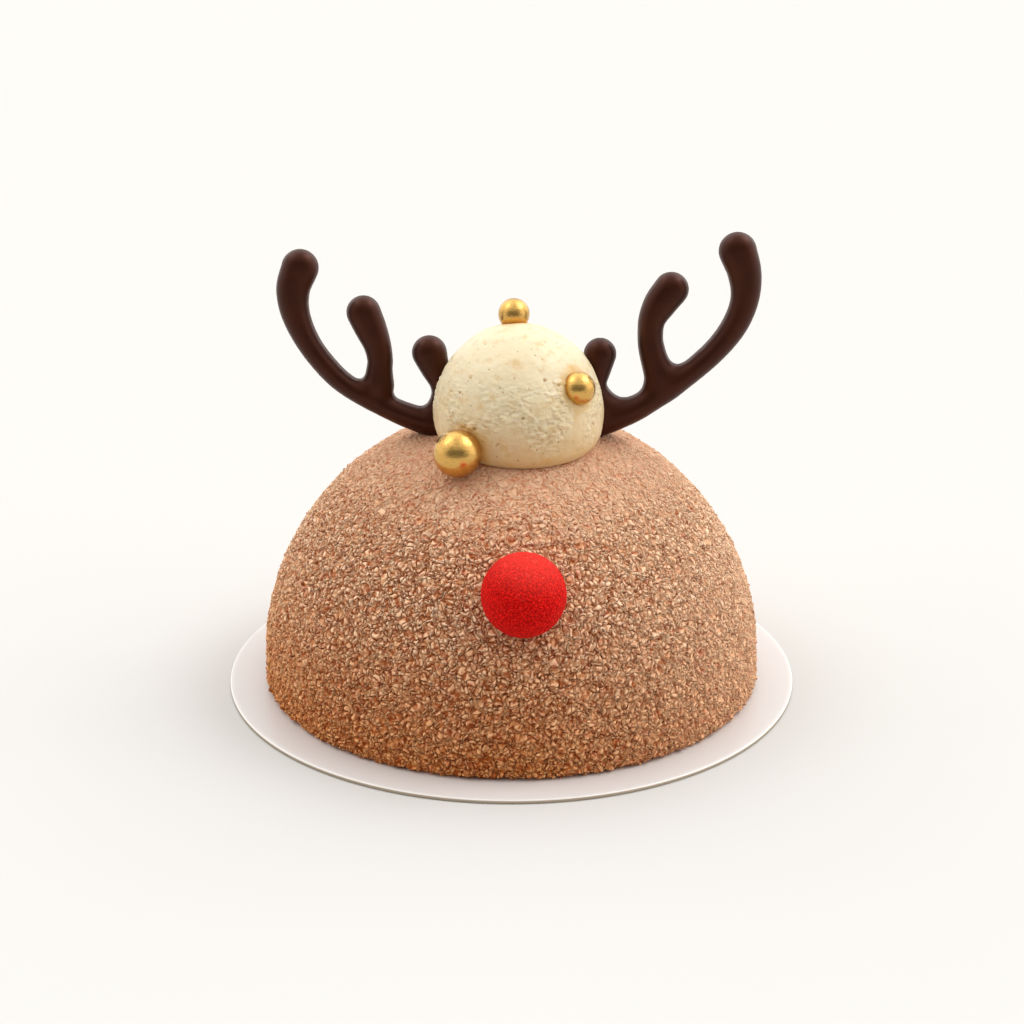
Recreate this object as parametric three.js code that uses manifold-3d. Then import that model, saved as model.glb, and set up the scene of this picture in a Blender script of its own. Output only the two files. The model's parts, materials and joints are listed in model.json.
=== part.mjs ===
// A Christmas dome dessert on its round card: a crumb-coated half-sphere of mousse, a scoop of
// vanilla cream on top with three sugar pearls, two flat moulded chocolate antlers set in the
// scoop's sides and one red velvet ball low on the front.
//
// Millimetres and degrees. +Z is up, -Y is the front, and the origin is the centre of the card's
// underside, on the surface that the dessert stands on.

import * as THREE from 'three';
import { mergeVertices } from 'three/addons/utils/BufferGeometryUtils.js';
import { ImprovedNoise } from 'three/addons/math/ImprovedNoise.js';
import Module from 'manifold-3d';

// ---- Driving dimensions ----------------------------------------------------------------------

// Clearance between a piece and the seat that its neighbour has for it.
const SEAT_GAP = 0.3;

const CARD = { radius: 40, thickness: 0.6, sides: 96 };

// A 70 mm half-sphere mould, filled a little above its equator, so a short upright wall is left.
const DOME = { radius: 35, wall: 3.4, detail: 21 };

// The coat of crumbs: lumps of two sizes, deep on the flanks and almost smooth near the top.
const CRUMB = { coarse: 3.6, fine: 2.1, depthLow: 0.6, depthTop: 0.1, smoothFrom: 0.5, smoothAbove: 0.93 };

// The scoop is a ball pressed onto the dome, leaning a little to the front.
const SCOOP = {
  radius: 11.7,
  centre: [0.9, -2.6, 40.8],
  detail: 8,
  undersideDetail: 7,
  ripple: 4.2,
  rippleDepth: 0.2,
};

const RED_BALL = { radius: 5.65, centre: [1.6, -29.8, 25.25], detail: 5, grain: 1.6, grainDepth: 0.06 };

// Sugar pearls: one lies on the dome against the scoop, one sits on the scoop's top, and one is
// half pressed into the scoop's right side.
const PEARLS = {
  pearl_large: { radius: 3.25, centre: [-7.2, -13.5, 38.75] },
  pearl_top: { radius: 2.15, centre: [0.35, 1.55, 53.45] },
  pearl_right: { radius: 2.3, centre: [9.0, -9.1, 46.4] },
};
const PEARL_DETAIL = 3;

// An antler is cast in a flat mould: a flat back, a short side wall and a rounded front edge.
const ANTLER = {
  thickness: 3.6,
  edgeRound: 1.2,
  frontRound: 1.7,
  backRound: 0.5,
  roundSteps: 3,
  sampleLength: 1.6,
  tipSteps: 9,
};

// Both antlers stand in one plane that leans back over the dome's centre.
const ANTLER_PLANE = { foot: [0, 1, 38], leanBack: 8 };

// Each stroke of an antler is a list of stations [x, up, half width] in that plane, from its
// round tip to its foot. A beam's foot is pressed into the scoop, a tine's foot is in the beam.
const ANTLERS = {
  antler_left: {
    beam: [
      [-28.9, 21.2, 2.6], [-29.9, 18.2, 2.35], [-29.6, 14.7, 2.0], [-27.8, 10.6, 1.7], [-24.8, 6.9, 1.65],
      [-21.9, 4.5, 1.65], [-17.6, 2.1, 1.7], [-13.8, 0.5, 1.85], [-10.3, -0.6, 2.0], [-6.9, -0.8, 1.9],
    ],
    middleTine: [
      [-20.3, 15.0, 2.4], [-19.4, 12.9, 2.25], [-18.5, 10.6, 1.95], [-18.1, 8.5, 1.8], [-18.2, 6.9, 1.95],
      [-18.6, 4.9, 2.6],
    ],
    innerTine: [
      [-11.4, 9.45, 2.35], [-10.8, 7.4, 1.95], [-9.9, 5.2, 1.55], [-9.9, 3.5, 1.75], [-10.4, 1.5, 2.35],
    ],
  },
  antler_right: {
    beam: [
      [30.9, 23.5, 2.65], [31.9, 20.4, 2.35], [32.0, 16.9, 2.0], [30.7, 13.3, 1.85], [28.2, 9.9, 1.7],
      [24.6, 6.7, 1.7], [20.7, 4.0, 1.7], [17.0, 1.9, 1.7], [13.1, 0.3, 1.8], [9.5, -0.6, 1.9],
    ],
    middleTine: [
      [21.9, 18.2, 2.45], [20.4, 16.2, 2.3], [19.3, 14.0, 1.9], [19.1, 11.6, 1.8], [19.4, 9.9, 1.9],
      [20.2, 8.1, 2.15], [21.6, 6.0, 2.75],
    ],
    innerTine: [
      [12.2, 9.2, 2.3], [12.0, 7.1, 1.8], [11.7, 5.2, 1.5], [11.8, 3.8, 1.75], [12.3, 1.8, 2.5],
    ],
  },
};

const FINISH = {
  card: { color: '#ece7e2', roughness: 0.55, metalness: 0 },
  dome: { color: '#c2997a', roughness: 0.9, metalness: 0 },
  scoop: { color: '#ecdcb6', roughness: 0.6, metalness: 0 },
  chocolate: { color: '#3a1a10', roughness: 0.4, metalness: 0 },
  redVelvet: { color: '#b3141c', roughness: 0.85, metalness: 0 },
  gold: { color: '#e3b25c', roughness: 0.25, metalness: 1 },
};

// ---- Solids ----------------------------------------------------------------------------------

const wasm = await Module();
wasm.setup();

/** A closed solid from a geometry, with only its positions and with shared corners merged. */
function toSolid(geometry) {
  const bare = geometry.clone();
  bare.deleteAttribute('normal');
  bare.deleteAttribute('uv');
  const merged = mergeVertices(bare);
  const vertProperties = new Float32Array(merged.attributes.position.array);
  const triVerts = new Uint32Array(merged.index.array);
  return new wasm.Manifold(new wasm.Mesh({ numProp: 3, vertProperties, triVerts }));
}

/** A named mesh in the given finish from a solid. */
function toMesh(name, solid, finish) {
  const { vertProperties, triVerts } = solid.getMesh();
  const geometry = new THREE.BufferGeometry();
  geometry.setAttribute('position', new THREE.BufferAttribute(new Float32Array(vertProperties), 3));
  geometry.setIndex(new THREE.BufferAttribute(new Uint32Array(triVerts), 1));
  geometry.computeVertexNormals();
  const mesh = new THREE.Mesh(geometry, new THREE.MeshStandardMaterial(finish));
  mesh.name = name;
  return mesh;
}

/** A ball of even facets whose surface moves out by relief(direction, point) millimetres. */
function reliefBall(radius, centre, detail, relief = () => 0) {
  const geometry = mergeVertices(bareBall(radius, detail));
  const position = geometry.attributes.position;
  const direction = new THREE.Vector3();
  const point = new THREE.Vector3();
  for (let i = 0; i < position.count; i += 1) {
    direction.fromBufferAttribute(position, i).normalize();
    point.copy(direction).multiplyScalar(radius);
    point.addScaledVector(direction, relief(direction, point));
    position.setXYZ(i, point.x, point.y, point.z);
  }
  geometry.translate(...centre);
  return toSolid(geometry);
}

/** An icosahedron split into even facets, with positions only. */
function bareBall(radius, detail) {
  const geometry = new THREE.IcosahedronGeometry(radius, detail);
  geometry.deleteAttribute('normal');
  geometry.deleteAttribute('uv');
  return geometry;
}

/** The seat that a ball leaves in its neighbour. */
function ballSeat({ radius, centre }, detail) {
  return reliefBall(radius + SEAT_GAP, centre, detail);
}

const noise = new ImprovedNoise();

/** Smooth noise from -1 to 1 whose lumps are about the given size. */
function lumps(point, size) {
  return noise.noise(point.x / size, point.y / size, point.z / size);
}

// ---- Card and dome ---------------------------------------------------------------------------

const DOME_CENTRE = [0, 0, CARD.thickness + DOME.wall];

function cardSolid() {
  const disc = new THREE.CylinderGeometry(CARD.radius, CARD.radius, CARD.thickness, CARD.sides);
  disc.rotateX(Math.PI / 2);
  disc.translate(0, 0, CARD.thickness / 2);
  return toSolid(disc);
}

/** How far the crumb coat stands out: lumpy on the flanks, fading to fine near the top. */
function crumbRelief(direction, point) {
  const height = THREE.MathUtils.smoothstep(direction.z, CRUMB.smoothFrom, CRUMB.smoothAbove);
  const depth = THREE.MathUtils.lerp(CRUMB.depthLow, CRUMB.depthTop, height);
  return depth * (lumps(point, CRUMB.coarse) + lumps(point, CRUMB.fine));
}

/** Everything under the card's top, as a block that cuts the dome flat. */
function belowCard() {
  const side = 3 * DOME.radius;
  const block = new THREE.BoxGeometry(side, side, side);
  block.translate(0, 0, CARD.thickness - side / 2);
  return toSolid(block);
}

function domeSolid(seats) {
  const ball = reliefBall(DOME.radius, DOME_CENTRE, DOME.detail, crumbRelief);
  return seats.reduce((solid, seat) => solid.subtract(seat), ball.subtract(belowCard()));
}

// ---- Scoop -----------------------------------------------------------------------------------

function scoopRelief(direction, point) {
  return SCOOP.rippleDepth * lumps(point, SCOOP.ripple);
}

/** The scoop's underside is hollow, as it takes the dome's shape where it is pressed on. */
function scoopSolid(seats) {
  const ball = reliefBall(SCOOP.radius, SCOOP.centre, SCOOP.detail, scoopRelief);
  const domeSeat = ballSeat({ radius: DOME.radius, centre: DOME_CENTRE }, SCOOP.undersideDetail);
  return seats.reduce((solid, seat) => solid.subtract(seat), ball.subtract(domeSeat));
}

// ---- Red ball and pearls -----------------------------------------------------------------------

function redBallSolid() {
  const grain = (direction, point) => RED_BALL.grainDepth * lumps(point, RED_BALL.grain);
  return reliefBall(RED_BALL.radius, RED_BALL.centre, RED_BALL.detail, grain);
}

function pearlSolid({ radius, centre }) {
  return reliefBall(radius, centre, PEARL_DETAIL);
}

// ---- Antlers -----------------------------------------------------------------------------------

/** The flat outline of one stroke: both sides of its centre line, with a round tip and foot. */
function strokeShape(stations, grow) {
  const line = new THREE.CatmullRomCurve3(stations.map((station) => new THREE.Vector3(...station)));
  const steps = Math.ceil(line.getLength() / ANTLER.sampleLength);
  const left = [];
  const right = [];
  for (let i = 0; i <= steps; i += 1) {
    const { x, y, z: half } = line.getPoint(i / steps);
    const along = flatTangent(line, i / steps);
    const side = new THREE.Vector2(-along.y, along.x).multiplyScalar(half + grow);
    left.push(new THREE.Vector2(x + side.x, y + side.y));
    right.push(new THREE.Vector2(x - side.x, y - side.y));
  }
  const tip = roundEnd(line, 0, grow, 1);
  const foot = roundEnd(line, 1, grow, -1);
  return new THREE.Shape([...left, ...foot, ...right.reverse(), ...tip]);
}

/** The direction of a stroke's centre line in its own plane. */
function flatTangent(line, t) {
  const { x, y } = line.getTangent(t);
  return new THREE.Vector2(x, y).normalize();
}

/** The points of a half circle round one end of a stroke, without its first and last. */
function roundEnd(line, t, grow, turn) {
  const { x, y, z: half } = line.getPoint(t);
  const along = flatTangent(line, t);
  const startAngle = Math.atan2(along.y, along.x) - (turn * Math.PI) / 2;
  const points = [];
  for (let i = 1; i < ANTLER.tipSteps; i += 1) {
    const angle = startAngle - (Math.PI * i) / ANTLER.tipSteps;
    const reach = half + grow;
    points.push(new THREE.Vector2(x + reach * Math.cos(angle), y + reach * Math.sin(angle)));
  }
  return points;
}

/** One stroke as a plate with rounded front and back edges, standing up with its front to -Y. */
function strokeSolid(stations, grow) {
  const depth = ANTLER.thickness - ANTLER.frontRound - ANTLER.backRound + 2 * grow;
  const plate = new THREE.ExtrudeGeometry(strokeShape(stations, grow), {
    depth,
    bevelSize: ANTLER.edgeRound,
    bevelOffset: -ANTLER.edgeRound,
    bevelThickness: ANTLER.frontRound,
    bevelSegments: ANTLER.roundSteps,
  });
  plate.rotateX(Math.PI / 2);
  plate.translate(0, ANTLER.thickness / 2 - ANTLER.backRound + grow, 0);
  return toSolid(plate);
}

/** A whole antler in its place, made larger all round by grow where it is a neighbour's seat. */
function antlerSolid(strokes, grow = 0) {
  const flat = Object.values(strokes)
    .map((stations) => strokeSolid(stations, grow))
    .reduce((whole, stroke) => whole.add(stroke));
  const side = 4 * CARD.radius;
  const behind = new THREE.BoxGeometry(side, side, side);
  behind.translate(0, (ANTLER.thickness + side) / 2 + grow, 0);
  return place(flat.subtract(toSolid(behind)));
}

/** Leans a solid back and stands it on the antlers' plane. */
function place(solid) {
  return solid.rotate([-ANTLER_PLANE.leanBack, 0, 0]).translate(ANTLER_PLANE.foot);
}

// ---- The dessert -------------------------------------------------------------------------------

const antlerSeats = Object.values(ANTLERS).map((strokes) => antlerSolid(strokes, SEAT_GAP));
const pearlSeats = Object.values(PEARLS).map((pearl) => ballSeat(pearl, PEARL_DETAIL));
const redBallSeat = ballSeat(RED_BALL, RED_BALL.detail);

const dessert = new THREE.Group();
dessert.add(toMesh('card', cardSolid(), FINISH.card));
dessert.add(toMesh('dome', domeSolid([redBallSeat, ...pearlSeats, ...antlerSeats]), FINISH.dome));
dessert.add(toMesh('scoop', scoopSolid([...pearlSeats, ...antlerSeats]), FINISH.scoop));
dessert.add(toMesh('red_ball', redBallSolid(), FINISH.redVelvet));
for (const [name, pearl] of Object.entries(PEARLS)) {
  dessert.add(toMesh(name, pearlSolid(pearl), FINISH.gold));
}
for (const [name, strokes] of Object.entries(ANTLERS)) {
  dessert.add(toMesh(name, antlerSolid(strokes), FINISH.chocolate));
}

export default dessert;
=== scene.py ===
"""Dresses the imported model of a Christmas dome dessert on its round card.

The dessert is a half-sphere of mousse with a crumb and velvet coat, a ball of vanilla cream with
three gold sugar pearls, two moulded chocolate antlers and a red velvet ball on the front.

Sizes are in millimetres until a mesh is finished: every builder makes its mesh in millimetres in
the row's frame, and make_piece() turns it to metres. -Y is the front.
"""

import json
import logging
import math
import random
from dataclasses import dataclass
from enum import Enum
from typing import Iterable

import bmesh
import bpy
import numpy as np
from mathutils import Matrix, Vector, noise

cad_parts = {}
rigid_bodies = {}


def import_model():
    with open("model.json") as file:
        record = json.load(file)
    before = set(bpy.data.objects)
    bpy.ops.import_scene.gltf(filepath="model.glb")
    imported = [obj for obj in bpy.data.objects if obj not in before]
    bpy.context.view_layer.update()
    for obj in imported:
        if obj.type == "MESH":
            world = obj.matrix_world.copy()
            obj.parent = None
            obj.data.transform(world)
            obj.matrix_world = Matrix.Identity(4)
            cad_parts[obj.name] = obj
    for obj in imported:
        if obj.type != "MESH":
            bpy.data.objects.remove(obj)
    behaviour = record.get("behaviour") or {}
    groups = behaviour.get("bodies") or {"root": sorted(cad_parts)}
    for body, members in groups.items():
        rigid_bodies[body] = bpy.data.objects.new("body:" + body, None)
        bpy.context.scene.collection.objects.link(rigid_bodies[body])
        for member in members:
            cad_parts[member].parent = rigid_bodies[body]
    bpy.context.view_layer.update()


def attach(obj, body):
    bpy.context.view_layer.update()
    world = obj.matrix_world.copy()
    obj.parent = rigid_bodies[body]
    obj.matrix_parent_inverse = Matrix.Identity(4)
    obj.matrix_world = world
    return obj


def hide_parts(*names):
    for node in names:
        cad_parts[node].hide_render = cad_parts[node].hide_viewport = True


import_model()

LOG = logging.getLogger("dome_dessert")

MM = 0.001
ROOT = "root"
NOISE_SEED = 7
KINDS_OF_CRUMB = 8

Colour = tuple[float, float, float, float]
Material = bpy.types.Material
Mesh = bpy.types.Mesh
Node = bpy.types.Node
Piece = bpy.types.Object
Socket = bpy.types.NodeSocket
Tree = bpy.types.NodeTree


# ---- Small tools -------------------------------------------------------------------------------


def linear(hex_colour: str) -> Colour:
    """Turns an sRGB hex colour to the linear colour that Blender's sockets take.

    Args:
        hex_colour: six hex digits after a #.

    Returns:
        Red, green, blue and an alpha of 1, all linear.
    """
    parts = [int(hex_colour[i : i + 2], 16) / 255 for i in (1, 3, 5)]
    straight = [c / 12.92 if c <= 0.04045 else ((c + 0.055) / 1.055) ** 2.4 for c in parts]
    return (*straight, 1.0)


def per_mm(size: float) -> float:
    """The scale of a pattern on Object coordinates, in metres, whose features are size mm."""
    return 1.0 / (size * MM)


def add_node(
    tree: Tree,
    kind: str,
    settings: dict | None = None,
    inputs: dict | None = None,
    stops: Iterable[tuple[float, str]] = (),
) -> Node:
    """Adds one node to a tree, sets it and links it.

    Args:
        tree: the shader or geometry tree.
        kind: the node's type name.
        settings: the node's own properties by name.
        inputs: what goes in each input, by the input's name or number: a socket to link or a value.
        stops: places and hex colours, for a colour ramp.

    Returns:
        The new node.
    """
    node = tree.nodes.new(kind)
    for name, value in (settings or {}).items():
        setattr(node, name, value)
    for key, value in (inputs or {}).items():
        if isinstance(value, Socket):
            tree.links.new(value, node.inputs[key])
        else:
            node.inputs[key].default_value = value
    for i, (place, hex_colour) in enumerate(stops):
        element = node.color_ramp.elements[i] if i < 2 else node.color_ramp.elements.new(place)
        element.position = place
        element.color = linear(hex_colour)
    return node


def smoothstep(low: float, high: float, value: np.ndarray) -> np.ndarray:
    """Rises smoothly from 0 at low to 1 at high."""
    t = np.clip((value - low) / (high - low), 0.0, 1.0)
    return t * t * (3.0 - 2.0 * t)


def lumps(points: np.ndarray, size: float, seed: float = 0.0) -> np.ndarray:
    """Smooth noise from about -1 to 1 at each point.

    Args:
        points: an n by 3 array, in mm.
        size: the width of a lump, in mm.
        seed: moves to another stretch of the same noise.

    Returns:
        One number for each point.
    """
    shift = Vector((seed, -seed, 0.37 * seed))
    return np.array([noise.noise(Vector(p) / size + shift) for p in points.tolist()])


def swirl(points: np.ndarray, size: float, reach: float) -> np.ndarray:
    """Bends space, so that a regular pattern read at the new places looks grown.

    Args:
        points: an n by 3 array, in mm.
        size: the width of a bend.
        reach: how far a point moves at most.

    Returns:
        The moved points.
    """
    bends = np.array([noise.noise_vector(Vector(p) / size) for p in points.tolist()])
    return points + reach * bends


def cell_numbers(cell: np.ndarray, seed: int) -> np.ndarray:
    """Four fixed numbers from 0 to 1 for each cell of a lattice."""
    place = cell.astype(np.uint64)
    factors = np.array([73856093, 19349663, 83492791], dtype=np.uint64)
    key = (place * factors).sum(1) ^ np.uint64(seed * 7919)
    numbers = []
    for _ in range(4):
        key = ((key ^ (key >> np.uint64(15))) & np.uint64(0xFFFFFFFF)) * np.uint64(2246822519)
        key = ((key ^ (key >> np.uint64(13))) & np.uint64(0xFFFFFFFF)) * np.uint64(3266489917)
        numbers.append(((key >> np.uint64(8)) & np.uint64(0xFFFFF)) / float(0x100000))
    return np.stack(numbers, 1)


def cells(points: np.ndarray, size: float, seed: int) -> tuple[np.ndarray, np.ndarray, np.ndarray]:
    """Packs space with uneven grains.

    Args:
        points: an n by 3 array, in mm.
        size: the mean width of a grain.
        seed: picks another packing.

    Returns:
        For each point: the distance from its grain's border in grain sizes, its height in mm on a
        plane tilted at random through its grain's middle, and its grain's own number from 0 to 1.
    """
    place = points / size
    base = np.floor(place).astype(np.int64)
    count = len(points)
    first, second = np.full(count, 9.0), np.full(count, 9.0)
    lean, own = np.zeros(count), np.zeros(count)
    for step in np.ndindex(3, 3, 3):
        numbers = cell_numbers(base + np.array(step) - 1, seed)
        offset = base + np.array(step) - 1 + numbers[:, :3] - place
        distance = np.linalg.norm(offset, axis=1)
        nearer = distance < first
        second = np.where(nearer, first, np.minimum(second, distance))
        first = np.where(nearer, distance, first)
        tilted = (offset * (2.0 * numbers[:, [3, 0, 1]] - 1.0)).sum(1) * size
        lean = np.where(nearer, tilted, lean)
        own = np.where(nearer, numbers[:, 3], own)
    return second - first, lean, own


def blur(field: np.ndarray, width: int) -> np.ndarray:
    """Softens a grid of numbers with a bell of the given width in grid steps."""
    shifts = range(-3 * width, 3 * width + 1)
    bell = np.exp(-0.5 * (np.array(shifts) / width) ** 2)
    bell /= bell.sum()
    for axis in (0, 1):
        field = sum(part * np.roll(field, shift, axis) for shift, part in zip(shifts, bell))
    return field


def mesh_points(mesh: Mesh) -> np.ndarray:
    """The places of a mesh's vertices as an n by 3 array."""
    flat = np.empty(len(mesh.vertices) * 3)
    mesh.vertices.foreach_get("co", flat)
    return flat.reshape(-1, 3)


def mesh_normals(mesh: Mesh) -> np.ndarray:
    """The normals of a mesh's vertices as an n by 3 array."""
    flat = np.empty(len(mesh.vertices) * 3)
    mesh.vertex_normals.foreach_get("vector", flat)
    return flat.reshape(-1, 3)


def set_points(mesh: Mesh, points: np.ndarray) -> None:
    """Moves a mesh's vertices to the given places."""
    mesh.vertices.foreach_set("co", points.astype(np.float32).ravel())
    mesh.update()


def store(mesh: Mesh, name: str, values: np.ndarray) -> None:
    """Keeps one number for each vertex in a named attribute."""
    attribute = mesh.attributes.new(name, "FLOAT", "POINT")
    attribute.data.foreach_set("value", values.astype(np.float32))


def ball_mesh(name: str, radius: float, centre: Iterable[float], detail: int) -> Mesh:
    """An even ball of triangles.

    Args:
        name: the mesh's name.
        radius: in mm.
        centre: in mm.
        detail: 1 gives 20 faces, and each step gives 4 times as many.

    Returns:
        The mesh, in mm.
    """
    mesh = bpy.data.meshes.new(name)
    shell = bmesh.new()
    bmesh.ops.create_icosphere(shell, subdivisions=detail, radius=radius)
    bmesh.ops.translate(shell, verts=shell.verts, vec=Vector(centre))
    shell.to_mesh(mesh)
    shell.free()
    return mesh


def ring_mesh(name: str, rings: list[np.ndarray]) -> Mesh:
    """A closed mesh through rings of the same number of points, each end drawn to its middle.

    Args:
        name: the mesh's name.
        rings: each an n by 3 array, in order from one end to the other.

    Returns:
        The mesh, with its faces pointing out.
    """
    count = len(rings[0])
    corners = [*np.concatenate(rings).tolist(), rings[0].mean(0).tolist(), rings[-1].mean(0).tolist()]
    first_pole, last_pole = len(corners) - 2, len(corners) - 1
    faces = []
    for level in range(len(rings) - 1):
        for i in range(count):
            j = (i + 1) % count
            low, high = level * count, (level + 1) * count
            faces.append((low + i, low + j, high + j, high + i))
    top = (len(rings) - 1) * count
    for i in range(count):
        j = (i + 1) % count
        faces.append((first_pole, j, i))
        faces.append((last_pole, top + i, top + j))
    mesh = bpy.data.meshes.new(name)
    mesh.from_pydata(corners, [], faces)
    shell = bmesh.new()
    shell.from_mesh(mesh)
    bmesh.ops.recalc_face_normals(shell, faces=shell.faces)
    shell.to_mesh(mesh)
    shell.free()
    return mesh


def make_piece(
    name: str,
    mesh: Mesh,
    material: Material,
    nodes: Iterable[str] = (),
    finished: bool = False,
) -> Piece:
    """Makes a finished mesh a piece that rides on the dessert.

    Args:
        name: the piece's name.
        mesh: its mesh in the row's frame.
        material: its finish.
        nodes: the CAD nodes that it stands for.
        finished: whether the mesh is in metres already and keeps its flat faces.

    Returns:
        The piece, at the origin, unturned and unscaled.
    """
    if not finished:
        set_points(mesh, mesh_points(mesh) * MM)
        mesh.polygons.foreach_set("use_smooth", [True] * len(mesh.polygons))
    mesh.name = name
    mesh.materials.clear()
    mesh.materials.append(material)
    piece = bpy.data.objects.new(name, mesh)
    bpy.context.scene.collection.objects.link(piece)
    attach(piece, ROOT)
    if nodes:
        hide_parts(*nodes)
    LOG.info("%s: %d faces", name, len(mesh.polygons))
    return piece


def evaluated_mesh(carrier: Piece, name: str) -> Mesh:
    """The plain mesh that an object's modifiers give. The object is removed.

    Args:
        carrier: an object whose modifiers make the mesh.
        name: the new mesh's name.

    Returns:
        The mesh.
    """
    bpy.context.view_layer.update()
    graph = bpy.context.evaluated_depsgraph_get()
    mesh = bpy.data.meshes.new_from_object(carrier.evaluated_get(graph), depsgraph=graph)
    mesh.name = name
    carrier.modifiers.clear()
    bpy.data.objects.remove(carrier)
    return mesh


# ---- Finishes ----------------------------------------------------------------------------------

SMOOTH = {"interpolation_type": "SMOOTHSTEP"}


def add_up(tree: Tree, parts: Iterable[tuple[Socket, Socket | float]], start: float = 0.0) -> Socket:
    """Adds nodes that sum some values, each times its factor.

    Args:
        tree: the shader or geometry tree.
        parts: each value with its factor, which is a number or a socket.
        start: what the sum starts from.

    Returns:
        The sum.
    """
    total = start
    for value, factor in parts:
        inputs = {0: value, 1: factor, 2: total}
        total = add_node(tree, "ShaderNodeMath", {"operation": "MULTIPLY_ADD"}, inputs).outputs[0]
    return total


def paint(tree: Tree, colour: Socket | str, layers: Iterable[tuple[Socket, Socket | str]]) -> Socket:
    """Lays colours over one another.

    Args:
        tree: the shader tree.
        colour: the lowest colour, a socket or a hex colour as the others are.
        layers: how much each layer covers, from 0 to 1, and its colour, from the bottom up.

    Returns:
        The colour that shows.
    """
    for cover, over in layers:
        pair = [linear(one) if isinstance(one, str) else one for one in (colour, over)]
        inputs = {0: cover, 6: pair[0], 7: pair[1]}
        colour = add_node(tree, "ShaderNodeMix", {"data_type": "RGBA"}, inputs).outputs[2]
    return colour


@dataclass(frozen=True)
class CrumbSockets:
    """What the crumb pattern gives at a place.

    Height is in metres. Gap is 1 in the gaps, where the finish paints shade, and 0 on the crumbs.
    Own and fleck each hold three numbers from 0 to 1: own stays the same over one crumb, and fleck
    changes from flake to flake.
    """

    height: Socket
    gap: Socket
    own: Node
    fleck: Node


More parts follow.
